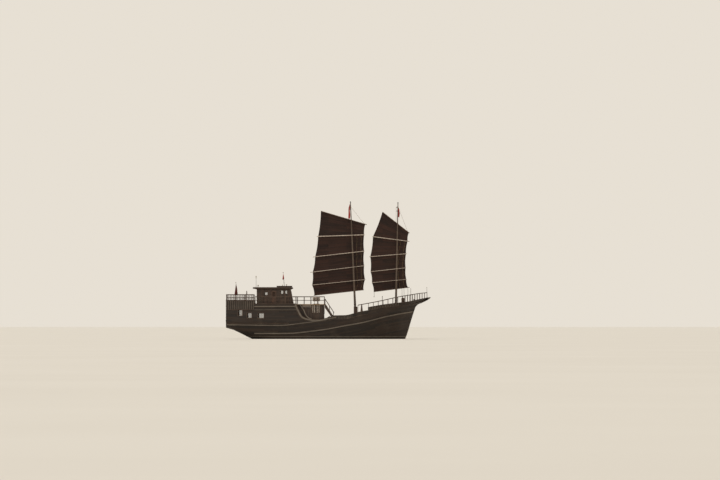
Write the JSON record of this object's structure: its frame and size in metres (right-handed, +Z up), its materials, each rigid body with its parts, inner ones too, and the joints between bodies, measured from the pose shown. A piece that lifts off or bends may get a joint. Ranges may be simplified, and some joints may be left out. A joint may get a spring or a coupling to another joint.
{
  "type": "two-masted junk",
  "caption": "Wooden two-masted junk afloat, with high stern house, raised wheelhouse, raking bow, and battened lug sails set on both masts.",
  "frame": {"origin": "on the waterline at mid-length, on the centreline", "axes": "+X towards the bow, +Y to port, +Z up"},
  "size_m": [25.9915, 6.378, 19.2022],
  "materials": {
    "hull_paint": "dark oiled hull planking",
    "bottom_paint": "matt bottom paint",
    "wale_timber": "weathered bare rubbing timber",
    "deck_teak": "worn laid deck",
    "house_timber": "dark varnish, worn",
    "door_timber": "dark varnish, worn",
    "rail_timber": "dark varnish, worn",
    "roof_paint": "painted canvas over boards",
    "mast_timber": "oiled spar timber",
    "batten_timber": "pale bare bamboo and timber",
    "sail_cloth": "tanned canvas",
    "canister_paint": "worn off-white paint",
    "bronze": "dull bronze"
  },
  "bodies": {
    "root": {"hull": "hull_paint", "keel": "bottom_paint", "stem": "wale_timber", "lower_wale_starboard": "wale_timber", "lower_wale_port": "wale_timber", "upper_wale_starboard": "wale_timber", "upper_wale_port": "wale_timber", "bulwark_starboard": "hull_paint", "bulwark_port": "hull_paint", "bow_panel": "hull_paint", "main_deck": "deck_teak", "fore_deck": "deck_teak", "poop_deck": "deck_teak", "aft_side_starboard": "hull_paint", "aft_side_port": "hull_paint", "stern_wall": "hull_paint", "cabin_side_starboard": "house_timber", "cabin_side_port": "house_timber", "saloon_front": "house_timber", "stair_starboard": "rail_timber", "stair_port": "rail_timber", "wheelhouse_front": "house_timber", "wheelhouse_back": "house_timber", "wheelhouse_side_starboard": "house_timber", "wheelhouse_side_port": "house_timber", "wheelhouse_roof": "roof_paint", "helm": "rail_timber", "poop_rail_starboard": "rail_timber", "poop_rail_port": "rail_timber", "poop_front_rail": "rail_timber", "stern_rail": "rail_timber", "fore_rail": "rail_timber", "raft_canister": "canister_paint", "main_mast": "mast_timber", "fore_mast": "mast_timber", "main_tabernacle": "rail_timber", "fore_tabernacle": "rail_timber", "windlass_frame": "rail_timber"},
    "rudder": {"rudder": "bottom_paint"},
    "propeller": {"propeller": "bronze"},
    "windlass_drum": {"windlass_drum": "mast_timber"},
    "hatch_lid": {"hatch_lid": "door_timber"},
    "saloon_door_starboard": {"saloon_door_starboard": "door_timber"},
    "saloon_door_port": {"saloon_door_port": "door_timber"},
    "wheelhouse_door_starboard": {"wheelhouse_door_starboard": "door_timber"},
    "wheelhouse_door_port": {"wheelhouse_door_port": "door_timber"},
    "main_sail": {"main_yard": "batten_timber", "main_batten_1": "batten_timber", "main_batten_2": "batten_timber", "main_batten_3": "batten_timber", "main_batten_4": "batten_timber", "main_boom": "batten_timber", "main_cloth": "sail_cloth"},
    "fore_sail": {"fore_yard": "batten_timber", "fore_batten_1": "batten_timber", "fore_batten_2": "batten_timber", "fore_batten_3": "batten_timber", "fore_batten_4": "batten_timber", "fore_boom": "batten_timber", "fore_cloth": "sail_cloth"}
  },
  "joints": [
    {"name": "rudder_turn", "type": "hinge", "parent": "root", "child": "rudder", "pos_m": [-9.6, 0, -0.8], "axis": [0, 0, 1], "range_deg": [-35, 35]},
    {"name": "propeller_spin", "type": "hinge", "parent": "root", "child": "propeller", "pos_m": [-8.68, 0, -1.12], "axis": [1, 0, 0], "continuous": true},
    {"name": "main_sail_swing", "type": "hinge", "parent": "root", "child": "main_sail", "pos_m": [3.46, 0, 2.64], "axis": [-0.0447, 0, 0.999], "range_deg": [-80, 80]},
    {"name": "fore_sail_swing", "type": "hinge", "parent": "root", "child": "fore_sail", "pos_m": [8.59, 0, 4.07], "axis": [0.0204, 0, 0.9998], "range_deg": [-80, 80]},
    {"name": "saloon_door_port_swing", "type": "hinge", "parent": "root", "child": "saloon_door_port", "pos_m": [-0.526, 0.656, 3.2], "axis": [0, 0, 1], "range_deg": [0, 110]},
    {"name": "saloon_door_starboard_swing", "type": "hinge", "parent": "root", "child": "saloon_door_starboard", "pos_m": [-0.526, -0.656, 3.2], "axis": [0, 0, -1], "range_deg": [0, 110]},
    {"name": "wheelhouse_door_starboard_swing", "type": "hinge", "parent": "root", "child": "wheelhouse_door_starboard", "pos_m": [-7.26, -1.714, 5.3], "axis": [0, 0, -1], "range_deg": [0, 110]},
    {"name": "wheelhouse_door_port_swing", "type": "hinge", "parent": "root", "child": "wheelhouse_door_port", "pos_m": [-7.26, 1.714, 5.3], "axis": [0, 0, 1], "range_deg": [0, 110]},
    {"name": "hatch_lid_lift", "type": "hinge", "parent": "root", "child": "hatch_lid", "pos_m": [5.93, 0, 4.0803], "axis": [0, -1, 0], "range_deg": [0, 100]},
    {"name": "windlass_spin", "type": "hinge", "parent": "root", "child": "windlass_drum", "pos_m": [9.5, 0, 4.79], "axis": [0, 1, 0], "continuous": true}
  ]
}
